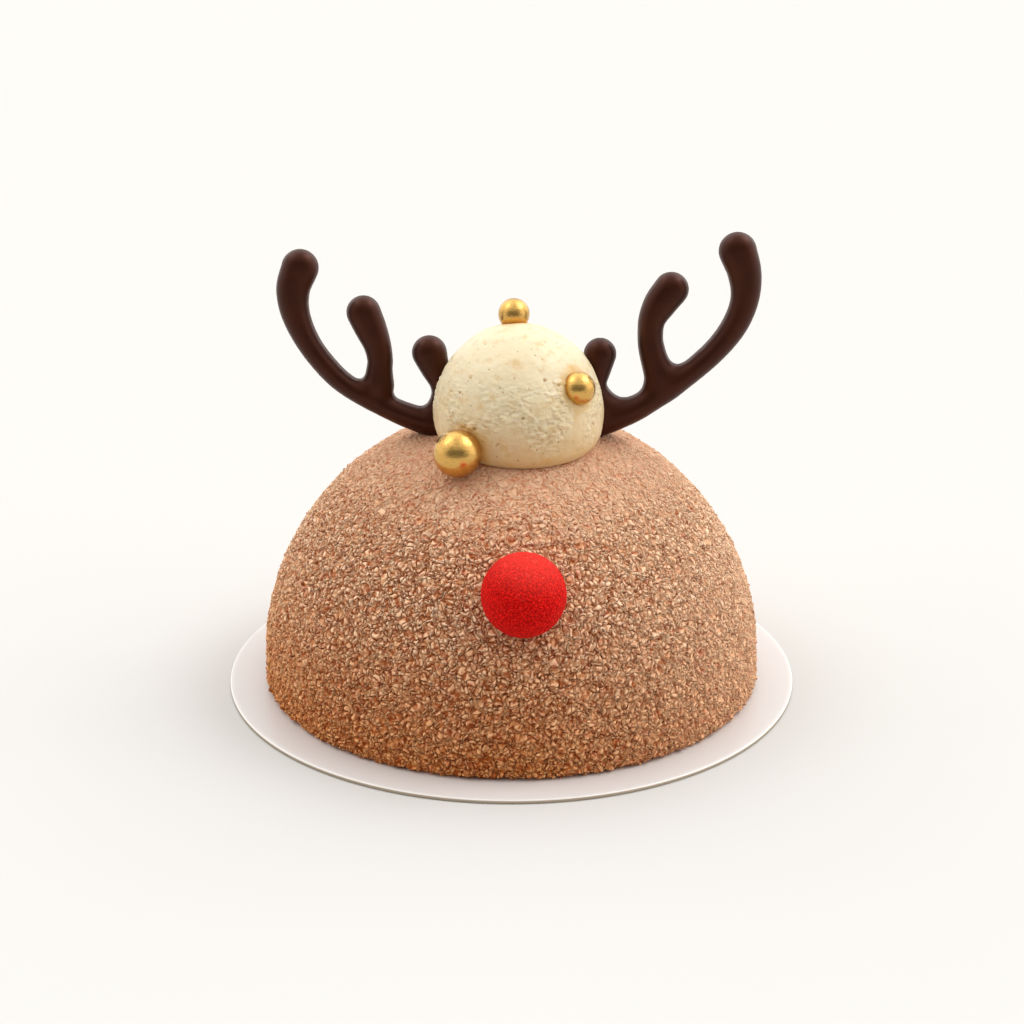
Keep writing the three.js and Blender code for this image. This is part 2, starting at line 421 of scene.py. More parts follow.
@dataclass(frozen=True)
class CrumbPattern:
    """Packed crumbs, and the curled flakes of spray on them, as one pattern in space.

    The same nodes go into the Geometry Nodes that measure the relief and into the finish, so that
    the finish's painted shade in the gaps lies in the relief's clefts. Sizes, depths, reaches and
    heights are in mm.
    The crumbs' relief fades to crown_share of itself on the crown, and the flakes' to fine_share.
    """

    crumb_size: float = 0.66
    crumb_spread: float = 0.15
    crumb_tilt: float = 0.6
    crumb_cleft: float = 0.24
    flake_size: float = 0.43
    flake_cleft: float = 0.17
    bends: tuple[tuple[float, float], ...] = ((1.2, 1.2), (0.45, 0.45))
    crown_from: float = 25.0
    crown_to: float = 37.5
    crown_share: float = 0.15
    fine_share: float = 0.5
    fill_size: float = 1.1
    # The painted shade in the gaps fades towards the right, where the light comes from, between these two
    # places across the dome and by this much.
    right_light_from: float = 2.0
    right_light_to: float = 36.0
    right_light_fill: float = 0.26

    def _bend(self, tree: Tree, place: Socket) -> Socket:
        """Adds the bends that curl the crumbs' outlines."""
        for size, reach in self.bends:
            inputs = {"Vector": place, "Scale": per_mm(size), "Detail": 0.0}
            curl = add_node(tree, "ShaderNodeTexNoise", inputs=inputs).outputs["Color"]
            inputs = {0: curl, 1: (0.5, 0.5, 0.5)}
            pull = add_node(tree, "ShaderNodeVectorMath", {"operation": "SUBTRACT"}, inputs).outputs[0]
            inputs = {0: pull, 1: (reach * MM,) * 3, 2: place}
            bent = add_node(tree, "ShaderNodeVectorMath", {"operation": "MULTIPLY_ADD"}, inputs)
            place = bent.outputs[0]
        return place

    def add(self, tree: Tree, place: Socket) -> CrumbSockets:
        """Adds the pattern's nodes.

        Args:
            tree: the shader or geometry tree.
            place: where the pattern is read, in metres.

        Returns:
            What the pattern gives there.
        """
        bent = self._bend(tree, place)
        where = add_node(tree, "ShaderNodeSeparateXYZ", inputs={0: place}).outputs
        crown = {0: where["Z"], 1: self.crown_from * MM, 2: self.crown_to * MM, 3: 1.0}
        share, fine_share = (
            add_node(tree, "ShaderNodeMapRange", SMOOTH, {**crown, 4: least}).outputs[0]
            for least in (self.crown_share, self.fine_share)
        )

        # Each crumb stands at its own height and leans its own way, with a cleft along its border.
        inputs = {"Vector": bent, "Scale": per_mm(self.crumb_size)}
        cell = add_node(tree, "ShaderNodeTexVoronoi", inputs=inputs).outputs
        border = add_node(tree, "ShaderNodeTexVoronoi", {"feature": "DISTANCE_TO_EDGE"}, inputs).outputs[0]
        away, lean = (
            add_node(tree, "ShaderNodeVectorMath", {"operation": "SUBTRACT"}, {0: one, 1: other}).outputs[0]
            for one, other in ((bent, cell["Position"]), (cell["Color"], (0.5, 0.5, 0.5)))
        )
        slope = add_node(tree, "ShaderNodeVectorMath", {"operation": "DOT_PRODUCT"}, {0: away, 1: lean})
        own = add_node(tree, "ShaderNodeSeparateXYZ", inputs={0: cell["Color"]})
        inputs = {0: border, 1: 0.0, 2: 0.22, 3: -self.crumb_cleft * MM, 4: 0.0}
        cleft = add_node(tree, "ShaderNodeMapRange", SMOOTH, inputs).outputs[0]
        parts = [(slope.outputs["Value"], self.crumb_tilt), (own.outputs["X"], self.crumb_spread * MM)]
        crumb = add_up(tree, [*parts, (cleft, 1.0)], -0.5 * self.crumb_spread * MM)

        # The flakes' grooves lie in the low stretches of a noise.
        inputs = {"Vector": bent, "Scale": per_mm(self.flake_size), "Detail": 1.0, "Roughness": 0.4}
        curl = add_node(tree, "ShaderNodeTexNoise", inputs=inputs).outputs["Color"]
        fleck = add_node(tree, "ShaderNodeSeparateXYZ", inputs={0: curl})
        flake = fleck.outputs["X"]
        inputs = {0: flake, 1: 0.37, 2: 0.54, 3: -self.flake_cleft * MM, 4: 0.0}
        groove = add_node(tree, "ShaderNodeMapRange", SMOOTH, inputs).outputs[0]
        height = add_up(tree, [(crumb, share), (groove, fine_share)])

        # The painted shade in the gaps is deep in some and faint in others, changing over about 1 mm,
        # and it fades towards the right, where the light comes from.
        inputs = {"Vector": place, "Scale": per_mm(self.fill_size), "Detail": 1.0}
        filled = add_node(tree, "ShaderNodeTexNoise", inputs=inputs).outputs[0]
        limits = {1: self.right_light_from * MM, 2: self.right_light_to * MM, 3: 0.0, 4: -self.right_light_fill}
        right_lit = add_node(tree, "ShaderNodeMapRange", inputs={0: where["X"], **limits}).outputs[0]
        inputs = {0: add_up(tree, [(filled, 1.0), (right_lit, 1.0)]), 1: 0.3, 2: 0.62, 3: 0.15}
        opened = add_node(tree, "ShaderNodeMapRange", inputs=inputs).outputs[0]
        lines = []
        for value, low, high, part in ((border, 0.0, 0.2, share), (flake, 0.37, 0.51, fine_share)):
            inputs = {0: value, 1: low, 2: high, 3: 1.0, 4: 0.0}
            lines.append((add_node(tree, "ShaderNodeMapRange", SMOOTH, inputs).outputs[0], part))
        clamped = {"operation": "MULTIPLY", "use_clamp": True}
        gap = add_node(tree, "ShaderNodeMath", clamped, {0: add_up(tree, lines), 1: opened}).outputs[0]
        return CrumbSockets(height, gap, own, fleck)


class Finish:
    """What every finish shares: one Principled shader, with what the finish puts in its sockets."""

    name: str

    def sockets(self, tree: Tree, place: Socket) -> dict:
        """Adds the finish's nodes.

        Args:
            tree: the material's tree.
            place: its Object coordinates.

        Returns:
            What goes in each of the shader's sockets, by its name: a socket to link or a value.
        """
        raise NotImplementedError

    def make(self) -> Material:
        """Builds the material."""
        material = bpy.data.materials.new(self.name)
        material.use_nodes = True
        tree = material.node_tree
        tree.nodes.clear()
        place = add_node(tree, "ShaderNodeTexCoord").outputs["Object"]
        shader = add_node(tree, "ShaderNodeBsdfPrincipled", inputs=self.sockets(tree, place))
        add_node(tree, "ShaderNodeOutputMaterial", inputs={"Surface": shader.outputs["BSDF"]})
        return material


@dataclass(frozen=True)
class CrumbVelvet(Finish):
    """Fine cake crumbs under a spray of cocoa-butter velvet.

    The spray freezes on as a dust of fat, so the eye sees almost no gloss and a pale bloom where
    the surface turns away. Deep between the crumbs the finish paints a warm brown shade.
    """

    name: str = "sprayed_cocoa_velvet"
    pattern: CrumbPattern = CrumbPattern()
    # The high colours are paler than the low ones: partly painted light from above, partly the crumbs' own
    # colour.
    low: tuple[str, str, str] = ("#AA5418", "#EA9450", "#FFC284")
    high: tuple[str, str, str] = ("#D67C3E", "#FFC28E", "#FFE6C8")
    # Painted shade in the gaps between the crumbs.
    gap_shade: str = "#A84604"
    reddish: str = "#DC7058"
    high_from: float = 2.0
    high_to: float = 22.0
    # Painted shade that darkens the crown, between the two heights below.
    bloom: str = "#A8785F"
    crown_shade_from: float = 26.0
    crown_shade_to: float = 37.0
    # Painted light on the right side, where the light comes from, rising between the two places below.
    right_side_light: str = "#F6CFAC"
    right_side_light_from: float = 4.0
    right_side_light_to: float = 36.0
    patch_size: float = 1.3
    dust_size: float = 0.16
    roughness: float = 0.92
    sheen: float = 0.35
    sheen_tint: str = "#F6CDB2"

    def sockets(self, tree: Tree, place: Socket) -> dict:
        """Adds the nodes, read at "rest", where the surface lay before its relief was raised."""
        place = add_node(tree, "ShaderNodeAttribute", {"attribute_name": "rest"}).outputs["Vector"]
        shade = add_node(tree, "ShaderNodeAttribute", {"attribute_name": "shade"}).outputs["Fac"]
        crumbs = self.pattern.add(tree, place)
        own, fleck = crumbs.own.outputs, crumbs.fleck.outputs
        # A place is painted paler the higher it stands, painted light on the crumbs' tops and painted
        # shade in their hollows, and each crumb and flake has a tone of its own.
        parts = [(crumbs.height, 0.9 / MM), (own["Y"], 0.08), (fleck["Y"], 0.3), (shade, 0.7)]
        tone = add_up(tree, parts, 0.56)
        low, high = (
            add_node(tree, "ShaderNodeValToRGB", inputs={0: tone}, stops=zip((0.0, 0.5, 1.0), colours))
            for colours in (self.low, self.high)
        )
        inputs = {"Vector": place, "Scale": per_mm(self.patch_size), "Detail": 3.0}
        patch = add_node(tree, "ShaderNodeTexNoise", inputs=inputs).outputs[0]
        where = add_node(tree, "ShaderNodeSeparateXYZ", inputs={0: place}).outputs
        # Each row is a value, where its share starts and ends, and the share there. The coat is painted
        # paler higher up, partly painted light from above and partly the crumbs' own colour; paler
        # towards the right, painted light from that side; and darker on the crown, painted shade that
        # tones down the light from above. Some crumbs, alone or in patches, took up more of the red of
        # the biscuit.
        rows = (
            (where["Z"], self.high_from * MM, self.high_to * MM, 0.0, 1.0),
            (where["X"], self.right_side_light_from * MM, self.right_side_light_to * MM, 0.0, 0.6),
            (where["Z"], self.crown_shade_from * MM, self.crown_shade_to * MM, 0.0, 0.54),
            (patch, 0.56, 0.78, 0.0, 0.45),
            (fleck["Z"], 0.64, 0.7, 0.0, 0.4),
        )
        higher, right_lit, crown, warm, single = (
            add_node(tree, "ShaderNodeMapRange", inputs=dict(enumerate(row))).outputs[0] for row in rows
        )
        red = add_up(tree, [(warm, 1.0), (single, 1.0)])
        # The gaps between the crumbs are painted a dark warm brown: painted shade.
        gap = add_up(tree, [(crumbs.gap, 0.75)])
        layers = (
            (higher, high.outputs[0]),
            (right_lit, self.right_side_light),
            (crown, self.bloom),
            (red, self.reddish),
            (gap, self.gap_shade),
        )
        # The mesh carries the relief, and its faces soften it, so most of it is added again as bump.
        inputs = {"Strength": 1.0, "Distance": 0.8, "Height": crumbs.height}
        relief = add_node(tree, "ShaderNodeBump", inputs=inputs).outputs[0]
        # Dust grains of the spray, 0.05 mm on the real one, are drawn at 0.16 mm so that they show.
        inputs = {"Vector": place, "Scale": per_mm(self.dust_size)}
        dust = add_node(tree, "ShaderNodeTexNoise", inputs=inputs).outputs[0]
        inputs = {"Strength": 0.2, "Distance": 0.05 * MM, "Height": dust, "Normal": relief}
        # The sheen lies on the crumbs and not in the gaps, whose painted shade stays a warm brown.
        bloom = add_node(tree, "ShaderNodeMapRange", inputs={0: gap, 3: self.sheen, 4: 0.05})
        return {
            "Base Color": paint(tree, low.outputs[0], layers),
            "Normal": add_node(tree, "ShaderNodeBump", inputs=inputs).outputs[0],
            "Roughness": self.roughness,
            "Specular IOR Level": 0.05,
            "Sheen Weight": bloom.outputs[0],
            "Sheen Roughness": 0.4,
            "Sheen Tint": linear(self.sheen_tint),
        }


@dataclass(frozen=True)
class RedVelvet(Finish):
    """A ball under a spray of red cocoa-butter velvet: no gloss, a lighter rim, a fine grain, and
    painted light on top.
    """

    name: str = "sprayed_red_velvet"
    deep: str = "#B20000"
    light: str = "#F0160E"
    # Painted light on top of the ball, and painted glints.
    bloom: str = "#FF5246"
    grain_size: float = 0.24
    roughness: float = 0.85
    sheen: float = 0.45
    sheen_tint: str = "#FF5040"

    def sockets(self, tree: Tree, place: Socket) -> dict:
        """Adds the nodes: a grain of two reds, with painted light on top and painted glints where the
        ball's attribute says.
        """
        inputs = {"Vector": place, "Scale": per_mm(self.grain_size)}
        grain = add_node(tree, "ShaderNodeTexNoise", inputs=inputs).outputs[0]
        stops = ((0.43, self.deep), (0.61, self.light))
        body = add_node(tree, "ShaderNodeValToRGB", inputs={0: grain}, stops=stops).outputs[0]
        dusted = add_node(tree, "ShaderNodeAttribute", {"attribute_name": "dusted"}).outputs["Fac"]
        inputs = {"Strength": 0.9, "Distance": 0.3 * MM, "Height": grain}
        return {
            "Base Color": paint(tree, body, [(dusted, self.bloom)]),
            "Normal": add_node(tree, "ShaderNodeBump", inputs=inputs).outputs[0],
            "Roughness": self.roughness,
            "Specular IOR Level": 0.1,
            "Sheen Weight": self.sheen,
            "Sheen Roughness": 0.3,
            "Sheen Tint": linear(self.sheen_tint),
        }


@dataclass(frozen=True)
class VanillaCream(Finish):
    """Whipped vanilla cream, smoothed by the scoop: light goes a little way in, which keeps its
    shadows warm, and vanilla seeds and drops of butter show in it."""

    name: str = "whipped_vanilla_cream"
    body: str = "#E4D3AE"
    # Painted shade and warm bounce light from the dome, low down on the cream; the body colour takes over
    # between the two heights below.
    bounce_shade: str = "#D2AA6C"
    # A painted highlight on the raised shreds of the torn band.
    torn: str = "#F2E3C0"
    bounce_shade_from: float = 33.0
    bounce_shade_to: float = 47.0
    butter: str = "#CC9C48"
    seed: str = "#6A5020"
    # Painted shade inside the pits.
    pit_shade: str = "#BC9044"
    # A painted reflection of the gold pearls and painted shade around them.
    pearl_light_and_shade: str = "#D9A440"
    butter_size: float = 1.6
    seed_spacing: float = 1.25
    pore_size: float = 0.5
    roughness: float = 0.4

    def sockets(self, tree: Tree, place: Socket) -> dict:
        """Adds the nodes, with the attributes "torn", "pit" and "halo" of the scoop's mesh."""
        torn, pit, halo = (
            add_node(tree, "ShaderNodeAttribute", {"attribute_name": label}).outputs["Fac"]
            for label in ("torn", "pit", "halo")
        )
        inputs = {"Vector": place, "Scale": per_mm(self.butter_size), "Detail": 3.0}
        drops = add_node(tree, "ShaderNodeTexNoise", inputs=inputs).outputs[0]
        inputs = {0: place, 1: (0.6, 0.6, 1.2)}
        drawn = add_node(tree, "ShaderNodeVectorMath", {"operation": "MULTIPLY"}, inputs).outputs[0]
        inputs = {"Vector": drawn, "Scale": per_mm(self.pore_size), "Detail": 5.0}
        pores = add_node(tree, "ShaderNodeTexNoise", inputs=inputs).outputs[0]
        inputs = {"Vector": place, "Scale": per_mm(self.seed_spacing)}
        seeds = add_node(tree, "ShaderNodeTexVoronoi", inputs=inputs).outputs[0]
        height = add_node(tree, "ShaderNodeSeparateXYZ", inputs={0: place}).outputs["Z"]
        # The cream is painted darker and warmer low down, painted shade and warm bounce light from the
        # dome.
        rows = (
            (height, self.bounce_shade_from * MM, self.bounce_shade_to * MM, 0.0, 1.0),
            (drops, 0.54, 0.72, 0.0, 0.45),
            (pores, 0.46, 0.66, 0.0, 0.75),
            (seeds, 0.06, 0.11, 0.75, 0.0),
            (torn, 0.0, 1.0, 0.22, 1.0),
        )
        rise, buttery, stands, speck, rough = (
            add_node(tree, "ShaderNodeMapRange", inputs=dict(enumerate(row))).outputs[0] for row in rows
        )
        # Where the torn cream's bump stands up it is painted whiter, a painted highlight on the raised
        # shreds.
        inputs = {0: stands, 1: torn}
        raised_highlight = add_node(tree, "ShaderNodeMath", {"operation": "MULTIPLY"}, inputs).outputs[0]
        # Around the pearls, where the halo says, the cream is painted gold: a painted reflection of the
        # pearls and painted shade beside them.
        # The pits are painted darker inside: painted shade in the hollows.
        layers = (
            (rise, self.body),
            (buttery, self.butter),
            (raised_highlight, self.torn),
            (speck, self.seed),
            (pit, self.pit_shade),
            (halo, self.pearl_light_and_shade),
        )
        inputs = {"Strength": rough, "Distance": 0.34 * MM, "Height": pores}
        return {
            "Base Color": paint(tree, self.bounce_shade, layers),
            "Normal": add_node(tree, "ShaderNodeBump", inputs=inputs).outputs[0],
            "Roughness": self.roughness,
            "Subsurface Weight": 0.35,
            "Subsurface Radius": (1.0, 0.7, 0.35),
            "Subsurface Scale": 1.6 * MM,
        }


@dataclass(frozen=True)
class MouldedChocolate(Finish):
    """Dark chocolate out of a smooth mould: a satin skin with broad soft highlights and a trace of
    the mould's waviness."""

    name: str = "moulded_dark_chocolate"
    body: str = "#230B04"
    worn: str = "#2F1206"
    shine: str = "#FFB098"
    wave_size: float = 3.0
    roughness: float = 0.4
    sheen_tint: str = "#C87860"

    def sockets(self, tree: Tree, place: Socket) -> dict:
        """Adds the nodes: one slow wave tints the body and bends the shine."""
        inputs = {"Vector": place, "Scale": per_mm(self.wave_size)}
        wave = add_node(tree, "ShaderNodeTexNoise", inputs=inputs).outputs[0]
        stops = ((0.35, self.body), (0.75, self.worn))
        inputs = {"Strength": 0.15, "Distance": 0.1 * MM, "Height": wave}
        return {
            "Base Color": add_node(tree, "ShaderNodeValToRGB", inputs={0: wave}, stops=stops).outputs[0],
            "Normal": add_node(tree, "ShaderNodeBump", inputs=inputs).outputs[0],
            "Roughness": self.roughness,
            "Specular IOR Level": 0.45,
            "Specular Tint": linear(self.shine),
            "Sheen Weight": 0.08,
            "Sheen Roughness": 0.35,
            "Sheen Tint": linear(self.sheen_tint),
        }


@dataclass(frozen=True)
class GoldShell(Finish):
    """A sugar pearl tumbled in gold: a polished metal skin with pinholes and a faint orange peel."""

    name: str = "tumbled_gold_shell"
    body: str = "#D2A65C"
    pinhole: str = "#7C5620"
    peel_size: float = 0.24
    pinhole_spacing: float = 0.5
    roughness: float = 0.25

    def sockets(self, tree: Tree, place: Socket) -> dict:
        """Adds the nodes: pinholes darken the gold, and the peel ripples its shine."""
        inputs = {"Vector": place, "Scale": per_mm(self.pinhole_spacing)}
        holes = add_node(tree, "ShaderNodeTexVoronoi", inputs=inputs).outputs[0]
        inputs = {0: holes, 1: 0.1, 2: 0.22, 3: 0.6, 4: 0.0}
        hole = add_node(tree, "ShaderNodeMapRange", inputs=inputs).outputs[0]
        inputs = {"Vector": place, "Scale": per_mm(self.peel_size)}
        peel = add_node(tree, "ShaderNodeTexNoise", inputs=inputs).outputs[0]
        inputs = {"Strength": 1.0, "Distance": 0.035 * MM, "Height": peel}
        return {
            "Base Color": paint(tree, self.body, [(hole, self.pinhole)]),
            "Normal": add_node(tree, "ShaderNodeBump", inputs=inputs).outputs[0],
            "Metallic": 1.0,
            "Roughness": self.roughness,
        }


@dataclass(frozen=True)
class CoatedBoard(Finish):
    """White paperboard with a white coating: a nearly flat satin top, and a bare grey-brown cut
    edge, its lower part darkened as painted shade, under a band at the rounded top painted whiter
    as a painted highlight.
    """

    name: str = "white_coated_board"
    face: str = "#D7D2CE"
    # The edge colour is a painted highlight on the rounded top of the side; the cut colour is the bare
    # board's grey-brown, darkened as painted shade.
    edge: str = "#F2EBE4"
    cut: str = "#B9A892"
    fibre_size: float = 0.35
    roughness: float = 0.35
    cut_below: float = 0.46
    face_above: float = 0.6

    def sockets(self, tree: Tree, place: Socket) -> dict:
        """Adds the nodes: the cut below, partly painted shade; the rounded edge over it, painted whiter as
        a painted highlight; then the face.
        """
        height = add_node(tree, "ShaderNodeSeparateXYZ", inputs={0: place}).outputs["Z"]
        ends = (
            ((self.cut_below - 0.06) * MM, self.cut_below * MM),
            ((self.face_above - 0.03) * MM, (self.face_above - 0.005) * MM),
        )
        lit_rim, flat = (
            add_node(tree, "ShaderNodeMapRange", inputs={0: height, 1: low, 2: high}).outputs[0]
            for low, high in ends
        )
        inputs = {"Vector": place, "Scale": per_mm(self.fibre_size), "Detail": 3.0}
        fibre = add_node(tree, "ShaderNodeTexNoise", inputs=inputs).outputs[0]
        inputs = {"Strength": 0.08, "Distance": 0.03 * MM, "Height": fibre}
        return {
            "Base Color": paint(tree, self.cut, [(lit_rim, self.edge), (flat, self.face)]),
            "Normal": add_node(tree, "ShaderNodeBump", inputs=inputs).outputs[0],
            "Roughness": self.roughness,
        }


@dataclass(frozen=True)
class FloorPaper(Finish):
    """The pale matt paper that the dessert is shown on: no gloss at all."""

    name: str = "pale_floor"
    colour: str = "#CDCBC7"

    def sockets(self, tree: Tree, place: Socket) -> dict:
        """One even colour."""
        return {"Base Color": linear(self.colour), "Roughness": 0.9, "Specular IOR Level": 0.0}


# ---- Card --------------------------------------------------------------------------------------


@dataclass
class Card:
    """The thin round card that the dessert stands on."""

    radius: float = 40.0
    thickness: float = 0.6
    edge_round: float = 0.2
    undercut: float = 0.03
    sides: int = 256

    def mesh(self) -> Mesh:
        """A disc whose top and bottom edges are rounded by the cutting die."""
        inner, soft = self.radius - self.edge_round, 0.3 * self.edge_round
        under = self.radius - self.undercut
        profile = [
            (0.5, 0.0),
            (under - 0.5, 0.0),
            (under, 0.02),
            (self.radius - 0.3 * self.undercut, 0.5 * self.thickness),
            (self.radius, self.thickness - self.edge_round),
            (self.radius - soft, self.thickness - soft),
            (inner, self.thickness),
            (inner - 0.5, self.thickness),
            (0.5, self.thickness),
        ]
        turn = np.linspace(0.0, 2.0 * math.pi, self.sides, endpoint=False)
        rings = [
            np.stack([reach * np.cos(turn), reach * np.sin(turn), np.full(self.sides, height)], 1)
            for reach, height in profile
        ]
        return ring_mesh("card", rings)

    def build(self) -> Piece:
        """Makes the card's piece."""
        return make_piece("round_card", self.mesh(), CoatedBoard().make(), ["card"])


# ---- Pieces set in the dome and the scoop ------------------------------------------------------


@dataclass
class Pearl:
    """One gold sugar pearl."""

    name: str
    node: str
    radius: float
    centre: tuple[float, float, float]
    dent: float = 0.02

    def build(self, finish: Material) -> Piece:
        """Makes the pearl's piece: a ball that is very slightly out of round."""
        mesh = ball_mesh(self.name, self.radius, self.centre, 6)
        points = mesh_points(mesh)
        outward = mesh_normals(mesh)
        set_points(mesh, points + outward * (self.dent * lumps(points, 1.8, self.radius))[:, None])
        return make_piece(self.name, mesh, finish, [self.node])


PEARLS = (
    Pearl("gold_pearl_large", "pearl_large", 3.25, (-7.2, -13.5, 38.75)),
    Pearl("gold_pearl_top", "pearl_top", 2.15, (0.35, 1.55, 53.45)),
    Pearl("gold_pearl_right", "pearl_right", 2.3, (9.0, -9.1, 46.4)),
)


@dataclass
class RedBall:
    """The red velvet ball that is set in the front of the dome."""

    radius: float = 5.6
    centre: tuple[float, float, float] = (1.6, -29.8, 25.25)
    grain_size: float = 0.3
    grain_depth: float = 0.05

    def build(self) -> Piece:
        """Makes the ball's piece, with the spray's grain as real relief."""
        mesh = ball_mesh("red_ball", self.radius, self.centre, 7)
        points = mesh_points(mesh)
        outward = mesh_normals(mesh)
        grain = lumps(points, self.grain_size)
        relief = self.grain_depth * (grain + 0.5 * lumps(points, 0.9, 3.0))
        set_points(mesh, points + outward * relief[:, None])
        gap, _, own = cells(points, self.grain_size, 6)
        sparkle = smoothstep(0.86, 0.97, own) * smoothstep(0.1, 0.5, gap)
        # Painted light lies where the ball looks up, and a little to the front and right, where the
        # light comes from. Some grains are a little lighter everywhere, and much lighter on top, painted
        # glints.
        upward = smoothstep(0.25, 1.05, outward[:, 2] - 0.1 * outward[:, 1] + 0.15 * outward[:, 0])
        store(mesh, "dusted", np.clip(0.36 * upward + (0.2 + 0.5 * upward) * sparkle, 0.0, 1.0))
        return make_piece("red_velvet_ball", mesh, RedVelvet().make(), ["red_ball"])


# ---- Dome --------------------------------------------------------------------------------------


class CoatBand(Enum):
    """The bands of the coat from the card up.

    Each value is the band's name, the stretch of the dome's side that it covers, measured up the
    side from the card, the width of its mesh's faces, the spacing of its loose crumbs and their
    length, all in mm.
    """

    FOOT = ("foot", 0.0, 10.0, 0.157, 1.5, 0.85)
    FLANK = ("flank", 10.0, 20.0, 0.157, 1.5, 0.82)
    SIDE = ("side", 20.0, 30.0, 0.15, 1.5, 0.78)
    SHOULDER = ("shoulder", 30.0, 40.0, 0.145, 1.4, 0.66)
    CROWN = ("crown", 40.0, 49.8, 0.145, 1.2, 0.42)


class CoatTree:
    """A Geometry Nodes tree with named inputs that makes a part of the coat from a surface."""

    def __init__(self, name: str, **kinds: str) -> None:
        """Makes the tree's inputs and its output.

        Args:
            name: the tree's name.
            kinds: the kind of each input besides Surface and Finish, by its label.
        """
        self.tree = bpy.data.node_groups.new(name, "GeometryNodeTree")
        new_socket = self.tree.interface.new_socket
        self.inputs = {
            label: new_socket(name=label, in_out="INPUT", socket_type="NodeSocket" + kind).identifier
            for label, kind in {"Surface": "Geometry", **kinds, "Finish": "Material"}.items()
        }
        new_socket(name="Coat", in_out="OUTPUT", socket_type="NodeSocketGeometry")
        self.given = add_node(self.tree, "NodeGroupInput").outputs

    def _end(self, coat: Socket, unit: float) -> None:
        """Ends the tree: a plain mesh that keeps its places as "rest", in the given finish.

        Args:
            coat: what the tree has made.
            unit: the surface's unit, in metres.
        """
        tree = self.tree
        real = add_node(tree, "GeometryNodeRealizeInstances", inputs={"Geometry": coat}).outputs[0]
        here = add_node(tree, "GeometryNodeInputPosition").outputs[0]
        inputs = {0: here, "Scale": unit}
        rest = add_node(tree, "ShaderNodeVectorMath", {"operation": "SCALE"}, inputs).outputs[0]
        inputs = {"Geometry": real, "Name": "rest", "Value": rest}
        kept = add_node(tree, "GeometryNodeStoreNamedAttribute", {"data_type": "FLOAT_VECTOR"}, inputs)
        inputs = {"Geometry": kept.outputs[0], "Material": self.given["Finish"]}
        dressed = add_node(tree, "GeometryNodeSetMaterial", inputs=inputs).outputs[0]
        add_node(tree, "NodeGroupOutput", inputs={0: dressed})

    def make(self, name: str, surface: Mesh, **values: object) -> Mesh:
        """Runs the tree over a surface.

        Args:
            name: the new mesh's name.
            surface: the mesh to start from.
            values: the tree's inputs by label.

        Returns:
            What the tree makes, as one plain mesh.
        """
        carrier = bpy.data.objects.new(name + "_carrier", surface)
        bpy.context.scene.collection.objects.link(carrier)
        modifier = carrier.modifiers.new("coat", "NODES")
        modifier.node_group = self.tree
        for label, value in values.items():
            modifier[self.inputs[label]] = value
        return evaluated_mesh(carrier, name)


class CrumbRelief(CoatTree):
    """Measures the crumb pattern over a smooth surface in mm, as the attribute "relief"."""

    def __init__(self, pattern: CrumbPattern) -> None:
        """Builds the tree."""
        super().__init__("crumb_relief")
        tree = self.tree
        inputs = {0: add_node(tree, "GeometryNodeInputPosition").outputs[0], "Scale": MM}
        place = add_node(tree, "ShaderNodeVectorMath", {"operation": "SCALE"}, inputs).outputs[0]
        height = add_up(tree, [(pattern.add(tree, place).height, 1.0 / MM)])
        inputs = {"Geometry": self.given["Surface"], "Name": "relief", "Value": height}
        coat = add_node(tree, "GeometryNodeStoreNamedAttribute", {"data_type": "FLOAT"}, inputs)
        self._end(coat.outputs[0], MM)


